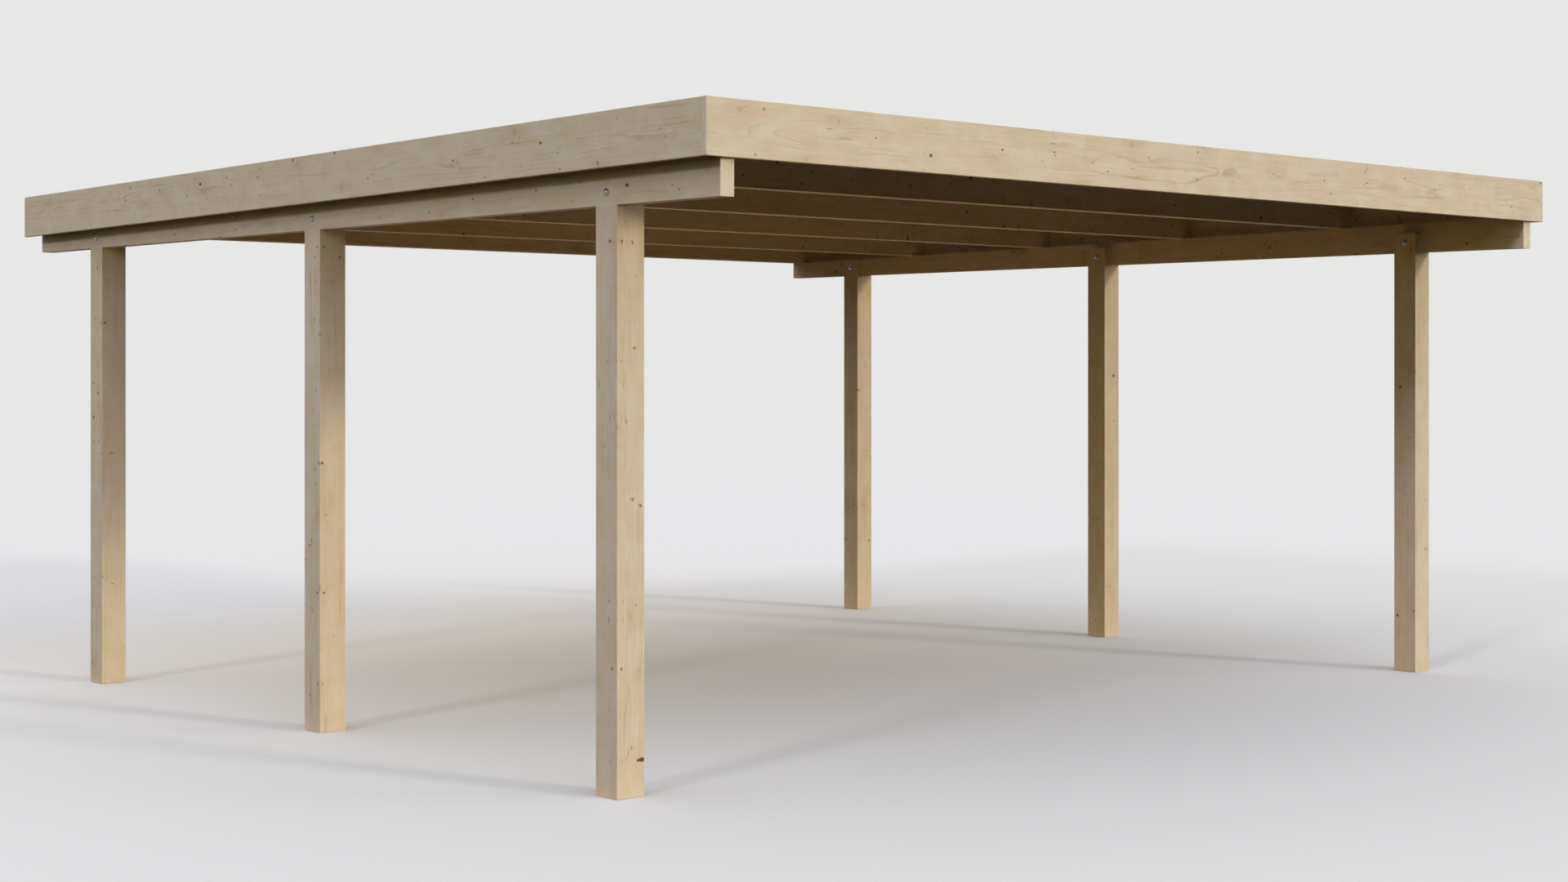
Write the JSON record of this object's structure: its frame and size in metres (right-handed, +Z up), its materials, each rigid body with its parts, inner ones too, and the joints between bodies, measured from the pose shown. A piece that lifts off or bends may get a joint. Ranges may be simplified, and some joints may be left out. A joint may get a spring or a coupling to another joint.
{
  "type": "open timber carport",
  "caption": "Free-standing flat-roofed timber carport, open on all sides, with a fascia, tapered beams bolted to rebated square posts and trapezoidal roof sheets.",
  "frame": {"origin": "on the ground, under the middle of the roof plan", "axes": "+Z up, +X to the right across the front, +Y from the front to the rear, down the fall of the roof"},
  "size_m": [5.24, 5.187, 2.387],
  "materials": {
    "timber": "planed, untreated spruce",
    "roof_sheet": "metal-coated profiled sheet, dull",
    "bolt_steel": "zinc plated, satin"
  },
  "bodies": {
    "root": {"post_left_front": "timber", "post_left_middle": "timber", "post_left_rear": "timber", "post_right_front": "timber", "post_right_middle": "timber", "post_right_rear": "timber", "beam_left": "timber", "beam_right": "timber", "rafter_1": "timber", "rafter_2": "timber", "rafter_3": "timber", "rafter_4": "timber", "rafter_5": "timber", "rafter_6": "timber", "edge_joist_left": "timber", "edge_joist_right": "timber", "fascia_front": "timber", "fascia_left": "timber", "fascia_right": "timber", "rear_board": "timber", "roof_sheet_1": "roof_sheet", "roof_sheet_2": "roof_sheet", "roof_sheet_3": "roof_sheet", "roof_sheet_4": "roof_sheet", "roof_sheet_5": "roof_sheet", "bolt_left_front": "bolt_steel", "bolt_left_middle": "bolt_steel", "bolt_left_rear": "bolt_steel", "bolt_right_front": "bolt_steel", "bolt_right_middle": "bolt_steel", "bolt_right_rear": "bolt_steel", "nut_left_front": "bolt_steel", "nut_left_middle": "bolt_steel", "nut_left_rear": "bolt_steel", "nut_right_front": "bolt_steel", "nut_right_middle": "bolt_steel", "nut_right_rear": "bolt_steel"}
  },
  "joints": []
}
